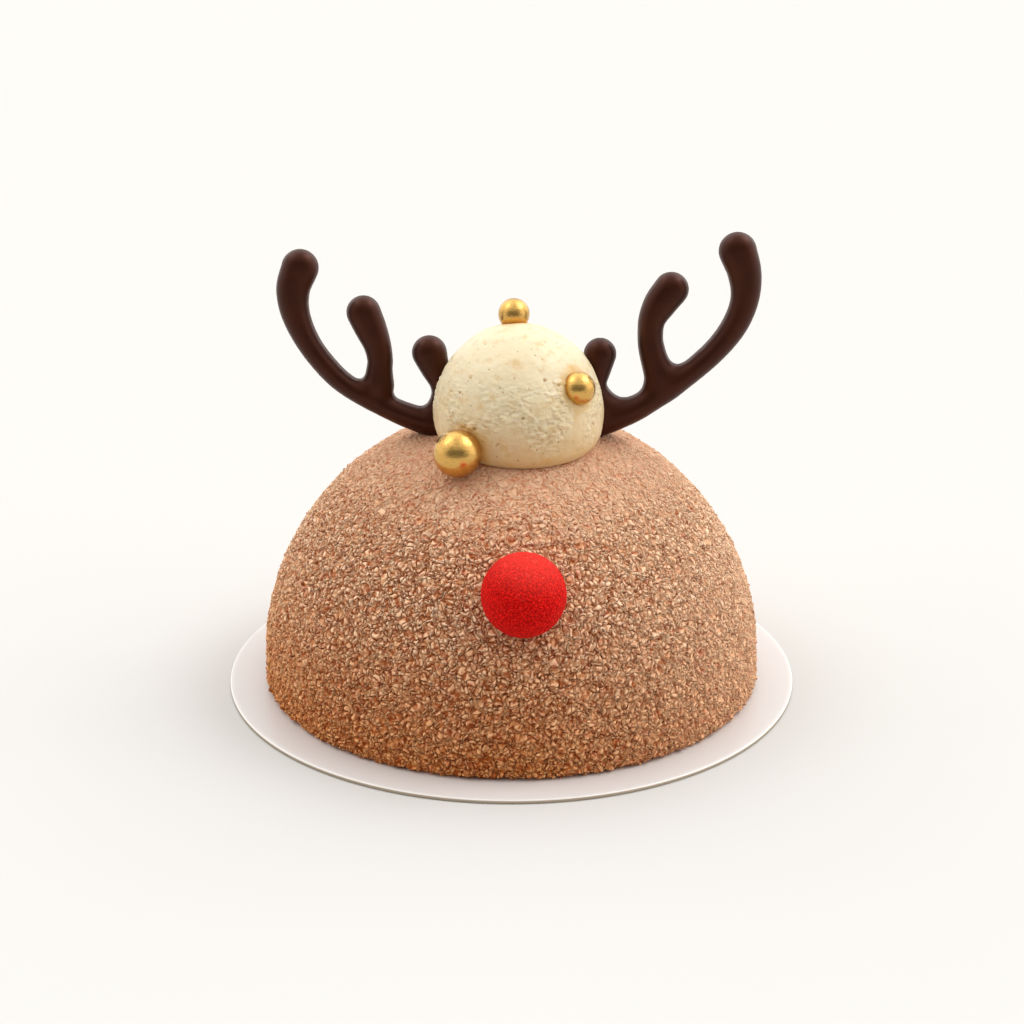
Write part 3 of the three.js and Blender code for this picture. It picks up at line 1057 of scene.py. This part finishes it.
class CrumbScatter(CoatTree):
    """Lays loose crumbs over a surface in metres: points by spacing, and a turned crumb on each."""

    def __init__(self) -> None:
        """Builds the tree."""
        numbers = dict.fromkeys(("Spacing", "Length", "Tilt", "Lift"), "Float")
        super().__init__("crumb_scatter", Crumbs="Collection", Coverage="String", Seed="Int", **numbers)
        tree, given = self.tree, self.given
        inputs = {"Name": given["Coverage"]}
        coverage = add_node(tree, "GeometryNodeInputNamedAttribute", {"data_type": "FLOAT"}, inputs)
        inputs = {
            "Mesh": given["Surface"],
            "Distance Min": given["Spacing"],
            "Density Max": 2.0e7,
            "Density Factor": coverage.outputs["Attribute"],
            "Seed": given["Seed"],
        }
        poisson = {"distribute_method": "POISSON"}
        points = add_node(tree, "GeometryNodeDistributePointsOnFaces", poisson, inputs).outputs
        inputs = {0: given["Tilt"], 1: given["Tilt"], 2: math.pi}
        most = add_node(tree, "ShaderNodeCombineXYZ", inputs=inputs).outputs[0]
        inputs = {0: most, "Scale": -1.0}
        least = add_node(tree, "ShaderNodeVectorMath", {"operation": "SCALE"}, inputs).outputs[0]

        # The draws, each with its own seed: its kind of number, the number of its pair of inputs
        # and of its output, and its limits. They give how far a crumb is lifted, how it is turned,
        # its size, which of the kinds it is, and its shade.
        rows = (
            ("FLOAT", 1, -1.0, 1.0),
            ("FLOAT_VECTOR", 0, least, most),
            ("FLOAT_VECTOR", 0, (0.5, 0.5, 0.6), (1.15, 1.1, 1.0)),
            ("INT", 2, 0, KINDS_OF_CRUMB - 1),
            ("FLOAT", 1, -0.15, 0.25),
        )
        draws = []
        for seed, (kind, pair, low, high) in enumerate(rows, 11):
            inputs = {2 * pair: low, 2 * pair + 1: high, "Seed": seed}
            draw = add_node(tree, "FunctionNodeRandomValue", {"data_type": kind}, inputs)
            draws.append(draw.outputs[pair])
        lifted, turn, size, pick, shade = draws

        inputs = {0: lifted, 1: given["Lift"]}
        rise = add_node(tree, "ShaderNodeMath", {"operation": "MULTIPLY"}, inputs).outputs[0]
        offset, grown = (
            add_node(tree, "ShaderNodeVectorMath", {"operation": "SCALE"}, {0: one, "Scale": by}).outputs[0]
            for one, by in ((points["Normal"], rise), (size, given["Length"]))
        )
        inputs = {"Geometry": points["Points"], "Offset": offset}
        placed = add_node(tree, "GeometryNodeSetPosition", inputs=inputs).outputs[0]
        turned = add_node(tree, "FunctionNodeEulerToRotation", inputs={0: turn}).outputs[0]
        inputs = {"Rotation": points["Rotation"], "Rotate By": turned}
        rotation = add_node(tree, "FunctionNodeRotateRotation", {"rotation_space": "LOCAL"}, inputs)
        inputs = {"Collection": given["Crumbs"], "Separate Children": True, "Reset Children": True}
        kinds = add_node(tree, "GeometryNodeCollectionInfo", inputs=inputs).outputs[0]
        inputs = {
            "Points": placed,
            "Instance": kinds,
            "Pick Instance": True,
            "Instance Index": pick,
            "Rotation": rotation.outputs[0],
            "Scale": grown,
        }
        crumbs = add_node(tree, "GeometryNodeInstanceOnPoints", inputs=inputs).outputs[0]
        inputs = {"Geometry": crumbs, "Name": "shade", "Value": shade}
        per_crumb = {"data_type": "FLOAT", "domain": "INSTANCE"}
        toned = add_node(tree, "GeometryNodeStoreNamedAttribute", per_crumb, inputs).outputs[0]
        self._end(toned, 1.0)


@dataclass
class Dome:
    """The half-sphere of mousse and its crumb coat."""

    radius: float = 34.75
    wall: float = 3.4
    card_top: float = 0.6
    foot_inset: float = 0.85
    foot_height: float = 0.8
    antler_feet: tuple[tuple[float, float], ...] = ((-11.0, -1.6), (12.2, -1.6))
    antler_press: float = 0.9
    antler_press_width: float = 2.8
    end_sink: float = 0.5
    end_ease: float = 0.03
    loose_tilt: float = 0.14
    loose_lift: float = 0.06
    seed: int = 4

    @property
    def centre(self) -> np.ndarray:
        """The middle of the half-sphere."""
        return np.array([0.0, 0.0, self.card_top + self.wall])

    @property
    def keep_out(self) -> list[tuple[float, tuple[float, float, float]]]:
        """Balls that no loose crumb lies in: the scoop, the red ball and the large pearl."""
        red, scoop = RedBall(), Scoop()
        return [
            (red.radius - 0.1, red.centre),
            (scoop.radius - 0.2, scoop.centre),
            (PEARLS[0].radius, PEARLS[0].centre),
        ]

    def _side(self, up: float, count: int, sink: float) -> tuple[np.ndarray, np.ndarray]:
        """One level ring of the dome's smooth side, and the way out of it.

        Args:
            up: the way up the side from the card, in mm.
            count: the number of points.
            sink: how far inside the side the ring lies.

        Returns:
            The points and the outward directions.
        """
        angle = max(0.0, up - self.wall) / self.radius
        height = min(up, self.wall) + self.card_top
        turn = np.linspace(0.0, 2.0 * math.pi, count, endpoint=False)
        flat, rise = math.cos(angle), math.sin(angle)
        outward = np.stack([flat * np.cos(turn), flat * np.sin(turn), np.full(count, rise)], 1)
        middle = np.array([0.0, 0.0, height])
        return middle + outward * (self.radius - sink), outward

    def _swell(self, points: np.ndarray) -> np.ndarray:
        """How far the crumb coat is thicker or thinner over a few mm, and lumpier at the card."""
        finer = smoothstep(25.0, 37.5, points[:, 2])
        swell = (1.0 - 0.6 * finer) * (0.12 * lumps(points, 4.2, 1.0) + 0.05 * lumps(points, 1.9, 2.0))
        foot = 1.0 - smoothstep(1.0, 2.8, points[:, 2])
        fringe = 0.3 * lumps(points, 1.2, 8.0) + 0.4 * lumps(points, 0.7, 4.0)
        return 0.1 + swell + foot * fringe

    def _pressed(self, points: np.ndarray) -> np.ndarray:
        """How far the coat is pressed in at each antler's foot, in mm."""
        deep = np.zeros(len(points))
        for foot in self.antler_feet:
            away = np.linalg.norm(points[:, :2] - np.array(foot), axis=1)
            deep += self.antler_press * np.exp(-((away / self.antler_press_width) ** 2))
        return deep

    def _coverage(self, points: np.ndarray) -> np.ndarray:
        """Where loose crumbs may lie: off the card, and clear of what is set in."""
        cover = np.ones(len(points))
        cover[points[:, 2] < self.card_top + 0.15] = 0.0
        for radius, centre in self.keep_out:
            cover[np.linalg.norm(points - np.array(centre), axis=1) < radius] = 0.0
        return cover

    def band(self, band: CoatBand, relief: CrumbRelief, finish: Material) -> Mesh:
        """One band of the dome, with its crumb coat as real relief.

        Its first and last rings sink in, so that it ends under its neighbours' surface.

        Args:
            band: the band.
            relief: what measures the crumbs.
            finish: the coat's material.

        Returns:
            The mesh, in mm.
        """
        name, low, high, width, _, _ = band.value
        rings = max(2, round((high - low) / width))
        angle = max(0.0, low - self.wall) / self.radius
        count = round(2.0 * math.pi * self.radius * math.cos(angle) / width)
        levels = [(up, 0.0) for up in np.linspace(low, high, rings + 1)]
        if low > 0.0:
            levels = [(low - width, self.end_sink), (low - 0.5 * width, self.end_ease), *levels]
        levels += [(high + 0.5 * width, self.end_ease), (high + width, self.end_sink)]
        sides = [self._side(up, count, sink) for up, sink in levels]
        outward = np.concatenate([side[1] for side in sides])
        smooth = ring_mesh(f"coat_{name}", [side[0] for side in sides])
        mesh = relief.make(smooth.name, smooth, Finish=finish)
        points = mesh_points(mesh)[:-2]
        crumbs = np.empty(len(mesh.vertices))
        mesh.attributes["relief"].data.foreach_get("value", crumbs)
        on_card = points[:, 2] < self.card_top + 1e-4
        above = np.clip((points[:, 2] - self.card_top) / self.foot_height, 0.0, 1.0)
        height = crumbs[:-2] + self._swell(points) - self._pressed(points)
        height -= self.foot_inset * (1.0 - above) ** 2
        moved = points + outward * height[:, None]
        moved[:, 2] = np.maximum(moved[:, 2], self.card_top + 0.02)
        moved[on_card, 2] = self.card_top
        ends = [moved[:count].mean(0), moved[-count:].mean(0)]
        set_points(mesh, np.concatenate([moved, ends]))
        store(mesh, "cover", np.concatenate([self._coverage(moved), np.zeros(2)]))
        return mesh

    def _crumb_kinds(self) -> bpy.types.Collection:
        """Uneven curled flakes of unit length, each of 30 triangles."""
        rng = random.Random(self.seed)
        kinds = bpy.data.collections.new("crumb_kinds")
        turn = np.linspace(0.0, 2.0 * math.pi, 5, endpoint=False)
        for i in range(KINDS_OF_CRUMB):
            wide, tall = rng.uniform(0.2, 0.36), rng.uniform(0.14, 0.22)
            bend, curl = rng.uniform(-0.9, 0.9), rng.uniform(-0.7, 0.7)
            rings = []
            for along, swell in ((-0.45, 0.5), (rng.uniform(-0.1, 0.1), 1.0), (0.45, 0.5)):
                across = wide * swell * np.cos(turn) + bend * along**2
                up = tall * swell * np.sin(turn) + curl * along**2
                ring = np.stack([np.full(5, along), across, up], 1)
                shake = [[rng.uniform(-0.06, 0.06) for _ in range(3)] for _ in turn]
                rings.append(ring + np.array(shake))
            kinds.objects.link(bpy.data.objects.new(f"crumb_{i}", ring_mesh(f"crumb_{i}", rings)))
        return kinds

    def build(self) -> None:
        """Makes each band's two pieces: its coat, and the loose crumbs on it."""
        velvet = CrumbVelvet()
        finish = velvet.make()
        relief = CrumbRelief(velvet.pattern)
        kinds = self._crumb_kinds()
        scatter = CrumbScatter()
        for number, band in enumerate(CoatBand):
            name, _, _, _, spacing, length = band.value
            mesh = self.band(band, relief, finish)
            coat = make_piece(f"coat_{name}", mesh, finish, ["dome"])
            loose = scatter.make(
                f"crumbs_{name}",
                coat.data,
                Crumbs=kinds,
                Coverage="cover",
                Spacing=spacing * MM,
                Length=length * MM,
                Tilt=self.loose_tilt,
                Lift=self.loose_lift * length * MM,
                Seed=self.seed + number,
                Finish=finish,
            )
            make_piece(f"crumbs_{name}", loose, finish, finished=True)
        for kind in list(kinds.objects):
            bpy.data.objects.remove(kind)
        bpy.data.collections.remove(kinds)


# ---- Scoop -------------------------------------------------------------------------------------


@dataclass
class Scoop:
    """The ball of cream, moulded onto the dome where it is pressed down."""

    radius: float = 11.75
    centre: tuple[float, float, float] = (0.98, -2.6, 40.85)
    stretch: tuple[float, float, float] = (0.985, 0.99, 1.025)
    detail: int = 7
    torn_height: float = 0.2
    torn_width: float = 0.5
    flake_size: float = 0.72
    pit_spacing: float = 0.62
    pit_depth: float = 0.2
    halo_reach: float = 1.7
    halo_cover: float = 0.65
    seat_depth: float = 0.35
    seed: int = 21

    def _torn(self, points: np.ndarray, outward: np.ndarray) -> np.ndarray:
        """How torn the surface is: patches in a band round the ball, a little above its middle."""
        band = 1.0 - smoothstep(0.12, self.torn_width, np.abs(outward[:, 2] - self.torn_height))
        return band * smoothstep(-0.35, 0.3, lumps(points, 4.0, 12.0))

    def build(self) -> Piece:
        """Makes the scoop's piece."""
        mesh = ball_mesh("scoop", self.radius, self.centre, self.detail)
        points = mesh_points(mesh)
        outward = (points - np.array(self.centre)) / self.radius
        torn = self._torn(points, outward)
        # The torn band is made of shreds that lie along the way the scoop was drawn.
        bent = swirl(points * np.array([0.45, 0.45, 1.0]), 1.0, 0.5)
        gap, lean, own = cells(bent, self.flake_size, self.seed)
        flakes = 0.2 * (smoothstep(0.0, 0.35, gap) - 0.6) + 0.1 * lean + 0.12 * (own - 0.5)
        shreds = points * np.array([0.65, 0.65, 1.3])
        flakes += 0.06 * lumps(shreds, 0.8, 2.0) + 0.12 * lumps(shreds, 0.42, 7.0)
        relief = 0.1 + 0.14 * lumps(points, 4.5, 3.0) + 0.06 * lumps(points, 1.5, 9.0)
        relief += 0.02 * lumps(points, 0.6, 5.0) + torn * (flakes - 0.05)
        # Burst air bubbles leave small pits, more of them in the torn band.
        gap, _, own = cells(swirl(points, 0.6, 0.2), self.pit_spacing, self.seed + 3)
        often = 0.95 - 0.2 * torn
        pits = smoothstep(often, often + 0.04, own) * smoothstep(0.3, 0.65, gap)
        relief -= self.pit_depth * pits
        reach = (self.radius + relief[:, None]) * outward * np.array(self.stretch)
        points = np.array(self.centre) + reach
        set_points(mesh, self._press(points))
        # The halo holds the painted reflection of each pearl's gold and the painted shade around it.
        halo = np.zeros(len(points))
        uneven = 0.3 * lumps(points, 0.9, 4.0)
        for pearl in PEARLS:
            away = np.linalg.norm(points - np.array(pearl.centre), axis=1) - pearl.radius
            pearl_light_and_shade = self.halo_cover * (1.0 - smoothstep(-0.2, self.halo_reach, away + uneven))
            halo = np.maximum(halo, pearl_light_and_shade)
        store(mesh, "halo", halo)
        store(mesh, "pit", pits)
        store(mesh, "torn", torn)
        return make_piece("cream_scoop", mesh, VanillaCream().make(), ["scoop"])

    def _press(self, points: np.ndarray) -> np.ndarray:
        """Moulds the underside onto the dome, and draws it in a little where the two meet."""
        dome = Dome()
        seat = dome.radius - self.seat_depth
        above = np.linalg.norm(points - dome.centre, axis=1) - seat
        drawn_in = 0.25 * (1.0 - smoothstep(0.7, 2.2, above))
        drawn_in += 0.4 * (1.0 - smoothstep(0.55, 0.95, above))
        side = points - np.array(self.centre)
        side[:, 2] = 0.0
        reach = np.maximum(np.linalg.norm(side, axis=1), 1e-6)
        # Right under the ball, where it can't be seen, nothing is drawn in.
        shown = smoothstep(2.0, 6.0, reach)
        points = points - side / reach[:, None] * drawn_in[:, None] * shown[:, None]
        away = points - dome.centre
        distance = np.linalg.norm(away, axis=1)
        pushed = dome.centre + away / distance[:, None] * seat
        return np.where((distance < seat)[:, None], pushed, points)


# ---- Antlers -----------------------------------------------------------------------------------

Station = tuple[float, float, float]


@dataclass
class Antler:
    """One moulded chocolate antler: a beam and two tines in one leaning plane.

    A stroke is a list of stations (x, up, half width) from its round tip to its foot. The strokes
    flow together into one outline, and the outline swells to a round front and a flatter back.
    """

    name: str
    node: str
    beam: tuple[Station, ...]
    middle_tine: tuple[Station, ...]
    inner_tine: tuple[Station, ...]
    front: float = 2.05
    back: float = 1.3
    waist: float = 0.4
    fillet: float = 1.4
    lean_back: float = 8.0
    foot: tuple[float, float, float] = (0.0, 1.0, 38.25)
    front_round: float = 2.1
    back_round: float = 1.0
    grid: float = 0.16
    melt: int = 8

    def _line(self, stations: tuple[Station, ...]) -> np.ndarray:
        """A smooth line through the stations, with points about 0.2 mm apart."""
        knots = np.array(stations)
        knots = np.vstack([2 * knots[0] - knots[1], knots, 2 * knots[-1] - knots[-2]])
        line = []
        for p0, p1, p2, p3 in zip(knots, knots[1:], knots[2:], knots[3:]):
            count = max(2, math.ceil(np.linalg.norm(p2 - p1) / 0.2))
            for t in np.linspace(0.0, 1.0, count, endpoint=False):
                bend = 2 * p0 - 5 * p1 + 4 * p2 - p3
                twist = 3 * p1 - 3 * p2 + p3 - p0
                line.append(0.5 * (2 * p1 + (p2 - p0) * t + bend * t**2 + twist * t**3))
        line.append(knots[-2])
        return np.array(line)

    def _outline(self, x: np.ndarray, up: np.ndarray) -> np.ndarray:
        """How far each place is outside the outline, in mm; less than 0 inside it."""
        strokes = []
        for stations in (self.beam, self.middle_tine, self.inner_tine):
            nearest = np.full(x.shape, 99.0)
            for sx, sup, half in self._line(stations):
                nearest = np.minimum(nearest, np.hypot(x - sx, up - sup) - half)
            strokes.append(nearest)
        whole = strokes[0]
        for tine in strokes[1:]:
            near = np.maximum(self.fillet - np.abs(whole - tine), 0.0) / self.fillet
            whole = np.minimum(whole, tine) - near * near * self.fillet / 4.0
        return whole

    def _solid(self) -> Mesh:
        """The swollen outline as a closed mesh, flat in its own plane: (x, depth, up)."""
        knots = np.array(self.beam + self.middle_tine + self.inner_tine)
        low, high = knots[:, :2].min(0) - 4.0, knots[:, :2].max(0) + 4.0
        ticks = [np.arange(first, last, self.grid) for first, last in zip(low, high)]
        x, up = np.meshgrid(*ticks)
        outside = self._outline(x, up)
        filled = (outside[:-1, :-1] + outside[1:, :-1] + outside[:-1, 1:] + outside[1:, 1:]) < 0.0
        padded = np.pad(filled, 1)
        corners = np.stack([padded[:-1, :-1], padded[1:, :-1], padded[:-1, 1:], padded[1:, 1:]])
        used, rim = corners.any(0), corners.any(0) & ~corners.all(0)
        slope_up, slope_x = np.gradient(outside, self.grid)
        x = np.where(rim, x - slope_x * outside, x)
        up = np.where(rim, up - slope_up * outside, up)
        inward = np.maximum(blur(-outside, 3), 0.0)
        front = self.front * np.sqrt(1.0 - (1.0 - np.minimum(inward / self.front_round, 1.0)) ** 2)
        back = self.back * np.sqrt(1.0 - (1.0 - np.minimum(inward / self.back_round, 1.0)) ** 2)
        front[rim] = back[rim] = 0.0
        number = np.full(x.shape, -1)
        number[used] = np.arange(used.sum())
        behind = np.where(rim, number, number + used.sum())
        sheets = [(-front, number, 1), (back, behind, -1)]
        points = [np.stack([x[used], self.waist + depth[used], up[used]], 1) for depth, _, _ in sheets]
        faces = []
        for _, index, way in sheets:
            quads = np.stack([index[:-1, :-1], index[:-1, 1:], index[1:, 1:], index[1:, :-1]], -1)
            faces += quads[filled][:, ::way].tolist()
        mesh = bpy.data.meshes.new(self.name)
        mesh.from_pydata(np.concatenate(points).tolist(), [], faces)
        return mesh

    def build(self, finish: Material) -> Piece:
        """Makes the antler's piece: the solid is meshed evenly, softened and leaned back."""
        carrier = bpy.data.objects.new(self.name + "_solid", self._solid())
        bpy.context.scene.collection.objects.link(carrier)
        even = carrier.modifiers.new("even", "REMESH")
        even.mode = "VOXEL"
        even.voxel_size = self.grid
        melt = carrier.modifiers.new("melt", "SMOOTH")
        melt.factor = 0.5
        melt.iterations = self.melt
        mesh = evaluated_mesh(carrier, self.name)
        lean = math.radians(self.lean_back)
        points = mesh_points(mesh)
        depth, up = points[:, 1].copy(), points[:, 2].copy()
        points[:, 1] = self.foot[1] + depth * math.cos(lean) + up * math.sin(lean)
        points[:, 2] = self.foot[2] - depth * math.sin(lean) + up * math.cos(lean)
        set_points(mesh, points)
        return make_piece(self.name, mesh, finish, [self.node])


ANTLERS = (
    Antler(
        "chocolate_antler_left",
        "antler_left",
        beam=(
            (-28.9, 21.2, 2.6), (-29.9, 18.2, 2.35), (-29.6, 14.7, 2.0), (-27.8, 10.6, 1.7),
            (-24.9, 6.8, 1.6), (-22.0, 4.35, 1.55), (-17.6, 2.0, 1.65), (-13.8, 0.35, 1.8),
            (-10.3, -0.6, 2.0), (-6.9, -0.8, 1.9),
        ),
        middle_tine=(
            (-20.3, 15.0, 2.4), (-19.4, 12.9, 2.25), (-18.5, 10.6, 1.95), (-18.1, 8.5, 1.8),
            (-18.2, 6.9, 1.85), (-18.3, 4.9, 2.15),
        ),
        inner_tine=(
            (-11.3, 9.4, 2.45), (-10.6, 7.4, 2.05), (-9.8, 5.2, 1.55), (-9.6, 3.5, 1.5),
            (-9.8, 1.5, 1.9),
        ),
    ),
    Antler(
        "chocolate_antler_right",
        "antler_right",
        beam=(
            (30.9, 23.5, 2.65), (31.9, 20.4, 2.35), (32.0, 16.9, 2.0), (30.7, 13.3, 1.85),
            (28.2, 9.9, 1.7), (24.6, 6.6, 1.65), (20.8, 3.75, 1.65), (17.0, 1.5, 1.85),
            (13.1, -0.1, 1.95), (9.5, -1.0, 2.05),
        ),
        middle_tine=(
            (21.9, 18.2, 2.45), (20.4, 16.2, 2.3), (19.3, 14.0, 1.9), (19.1, 11.6, 1.8),
            (19.3, 9.9, 1.85), (19.8, 8.1, 1.95), (20.6, 5.8, 2.2),
        ),
        inner_tine=(
            (12.2, 9.2, 2.3), (12.0, 7.1, 1.8), (11.7, 5.2, 1.5), (11.8, 3.8, 1.75),
            (12.3, 1.8, 2.5),
        ),
        fillet=2.2,
    ),
)


# ---- Studio ------------------------------------------------------------------------------------


@dataclass(frozen=True)
class Lobe:
    """A soft patch of light on the surround: nothing at its edge, full strength in its core.

    The edge and the core are cosines of the angle from the patch's middle.
    """

    toward: tuple[float, float, float]
    edge: float
    core: float
    strength: float


@dataclass
class Studio:
    """The pale floor, the soft light and the camera."""

    distance: float = 400.0
    elevation: float = 21.88
    aim: tuple[float, float, float] = (0.08, 0.0, 24.91)
    lens: float = 100.6
    floor_side: float = 8000.0
    floor_depth: float = 0.02
    ambient: float = 0.075
    lobes: tuple[Lobe, ...] = (
        Lobe((0.0, 0.0, 1.0), 0.45, 0.95, 0.91),
        Lobe((0.88, 0.3, 0.34), 0.3, 0.95, 1.55),
        Lobe((-0.86, 0.36, 0.34), 0.3, 0.95, 1.25),
        Lobe((0.0, 0.94, 0.34), 0.4, 0.95, 0.6),
        Lobe((0.0, -0.98, 0.2), 0.2, 0.95, 0.14),
        Lobe((0.62, 0.15, 0.77), 0.95, 0.99, 3.8),
        Lobe((-0.6, 0.1, 0.79), 0.95, 0.99, 1.4),
    )

    def floor(self) -> None:
        """A large plain floor just under the card."""
        half, low = self.floor_side / 2 * MM, -self.floor_depth * MM
        corners = [(-half, -half, low), (half, -half, low), (half, half, low), (-half, half, low)]
        mesh = bpy.data.meshes.new("floor")
        mesh.from_pydata(corners, [], [(0, 1, 2, 3)])
        mesh.materials.append(FloorPaper().make())
        floor = bpy.data.objects.new("floor", mesh)
        bpy.context.scene.collection.objects.link(floor)

    def surround(self) -> None:
        """A dim surround with soft patches of light, and only a faint one from the front."""
        world = bpy.data.worlds.new("surround")
        bpy.context.scene.world = world
        world.use_nodes = True
        tree = world.node_tree
        tree.nodes.clear()
        direction = add_node(tree, "ShaderNodeTexCoord").outputs["Generated"]
        patches = []
        for lobe in self.lobes:
            inputs = {0: direction, 1: tuple(Vector(lobe.toward).normalized())}
            near = add_node(tree, "ShaderNodeVectorMath", {"operation": "DOT_PRODUCT"}, inputs)
            inputs = {0: near.outputs["Value"], 1: lobe.edge, 2: lobe.core, 3: 0.0, 4: lobe.strength}
            patches.append(add_node(tree, "ShaderNodeMapRange", SMOOTH, inputs).outputs[0])
        strength = add_up(tree, [(patch, 1.0) for patch in patches], self.ambient)
        inputs = {"Color": (1.0, 1.0, 1.0, 1.0), "Strength": strength}
        lit = add_node(tree, "ShaderNodeBackground", inputs=inputs).outputs[0]
        add_node(tree, "ShaderNodeOutputWorld", inputs={"Surface": lit})

    def camera(self) -> None:
        """The camera at the photograph's viewing angle."""
        tilt = math.radians(self.elevation)
        data = bpy.data.cameras.new("camera")
        data.lens = self.lens
        data.sensor_width = 36.0
        data.clip_end = 20.0
        camera = bpy.data.objects.new("camera", data)
        back = self.distance * math.cos(tilt)
        rise = self.distance * math.sin(tilt)
        x, y, z = self.aim
        camera.location = (x * MM, (y - back) * MM, (z + rise) * MM)
        camera.rotation_euler = (math.pi / 2 - tilt, 0.0, 0.0)
        bpy.context.scene.collection.objects.link(camera)
        bpy.context.scene.camera = camera

    def build(self) -> None:
        """Makes the whole studio."""
        self.floor()
        self.surround()
        self.camera()
        bpy.context.scene.view_settings.view_transform = "Standard"


# ---- The dessert -------------------------------------------------------------------------------


def main() -> None:
    """Builds the dessert from the card up, then the studio."""
    logging.basicConfig(level=logging.INFO, format="%(message)s")
    noise.seed_set(NOISE_SEED)
    Card().build()
    Dome().build()
    Scoop().build()
    RedBall().build()
    gold = GoldShell().make()
    for pearl in PEARLS:
        pearl.build(gold)
    chocolate = MouldedChocolate().make()
    for antler in ANTLERS:
        antler.build(chocolate)
    Studio().build()


if __name__ == "__main__":
    main()
